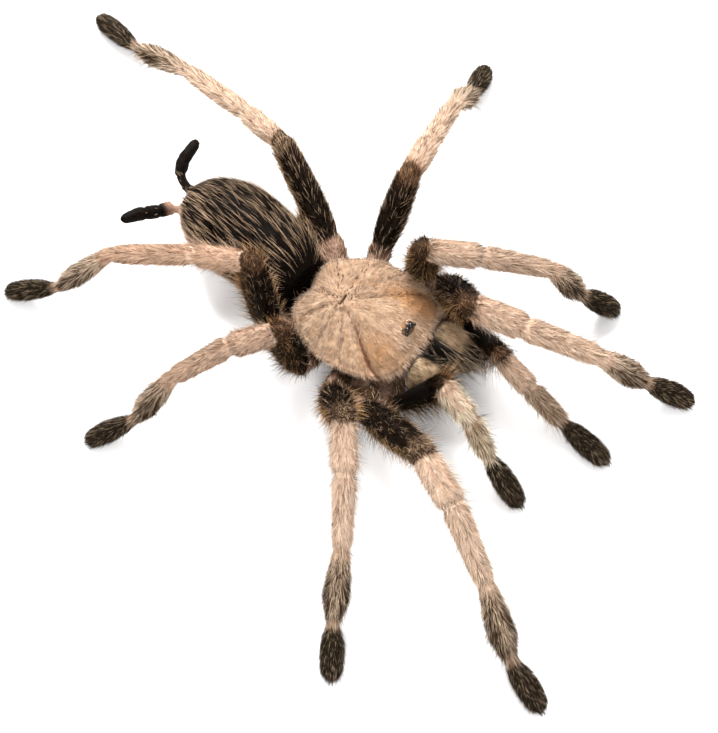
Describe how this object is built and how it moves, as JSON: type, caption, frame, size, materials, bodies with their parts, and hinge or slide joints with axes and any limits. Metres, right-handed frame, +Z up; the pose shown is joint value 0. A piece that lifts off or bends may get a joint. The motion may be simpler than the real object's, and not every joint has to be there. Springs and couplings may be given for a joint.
{
  "type": "tarantula",
  "caption": "Adult tarantula standing with raised knees and spread legs: pale shield and shins, dark thighs, feet and abdomen; a still, life-size figure.",
  "frame": {"origin": "on the floor, under the middle of the outline seen from above", "axes": "-Y is the way the spider faces, +X its own left side, +Z up"},
  "size_m": [0.0994, 0.1174, 0.0229],
  "materials": {
    "shield": "pale blond, short flat hairs with a satin sheen",
    "eye_mound": "brown, satin",
    "eye": "glossy black",
    "jaw": "grey brown to tan, short hairs",
    "fang": "glossy black",
    "underside": "dark brown, hairy",
    "abdomen_coat": "black brown skin under long pale gold hairs",
    "spinneret": "black velvet",
    "hip_coat": "brown, bare patches and hair",
    "thigh_coat": "near black, sparse long hairs",
    "shin_coat": "pale blond hairs, two bare stripes on each knee piece",
    "foot_coat": "dark brown hair pads with pale streaks"
  },
  "bodies": {
    "root": {"abdomen": "abdomen_coat", "carapace": "shield", "chelicera_left": "jaw", "chelicera_right": "jaw", "eye_anterior_lateral_left": "eye", "eye_anterior_lateral_right": "eye", "eye_anterior_median_left": "eye", "eye_anterior_median_right": "eye", "eye_posterior_lateral_left": "eye", "eye_posterior_lateral_right": "eye", "eye_posterior_median_left": "eye", "eye_posterior_median_right": "eye", "eye_tubercle": "eye_mound", "fang_left": "fang", "fang_right": "fang", "labium": "underside", "leg_left_1_coxa": "hip_coat", "leg_left_1_femur": "thigh_coat", "leg_left_1_metatarsus_tarsus": "foot_coat", "leg_left_1_patella_tibia": "shin_coat", "leg_left_2_coxa": "hip_coat", "leg_left_2_femur": "thigh_coat", "leg_left_2_metatarsus_tarsus": "foot_coat", "leg_left_2_patella_tibia": "shin_coat", "leg_left_3_coxa": "hip_coat", "leg_left_3_femur": "thigh_coat", "leg_left_3_metatarsus_tarsus": "foot_coat", "leg_left_3_patella_tibia": "shin_coat", "leg_left_4_coxa": "hip_coat", "leg_left_4_femur": "thigh_coat", "leg_left_4_metatarsus_tarsus": "foot_coat", "leg_left_4_patella_tibia": "shin_coat", "leg_right_1_coxa": "hip_coat", "leg_right_1_femur": "thigh_coat", "leg_right_1_metatarsus_tarsus": "foot_coat", "leg_right_1_patella_tibia": "shin_coat", "leg_right_2_coxa": "hip_coat", "leg_right_2_femur": "thigh_coat", "leg_right_2_metatarsus_tarsus": "foot_coat", "leg_right_2_patella_tibia": "shin_coat", "leg_right_3_coxa": "hip_coat", "leg_right_3_femur": "thigh_coat", "leg_right_3_metatarsus_tarsus": "foot_coat", "leg_right_3_patella_tibia": "shin_coat", "leg_right_4_coxa": "hip_coat", "leg_right_4_femur": "thigh_coat", "leg_right_4_metatarsus_tarsus": "foot_coat", "leg_right_4_patella_tibia": "shin_coat", "palp_left_coxa": "hip_coat", "palp_left_femur": "thigh_coat", "palp_left_patella_tibia": "shin_coat", "palp_left_tarsus": "foot_coat", "palp_right_coxa": "hip_coat", "palp_right_femur": "thigh_coat", "palp_right_patella_tibia": "shin_coat", "palp_right_tarsus": "foot_coat", "pedicel": "underside", "spinneret_left": "spinneret", "spinneret_right": "spinneret", "sternum": "underside"}
  },
  "joints": []
}
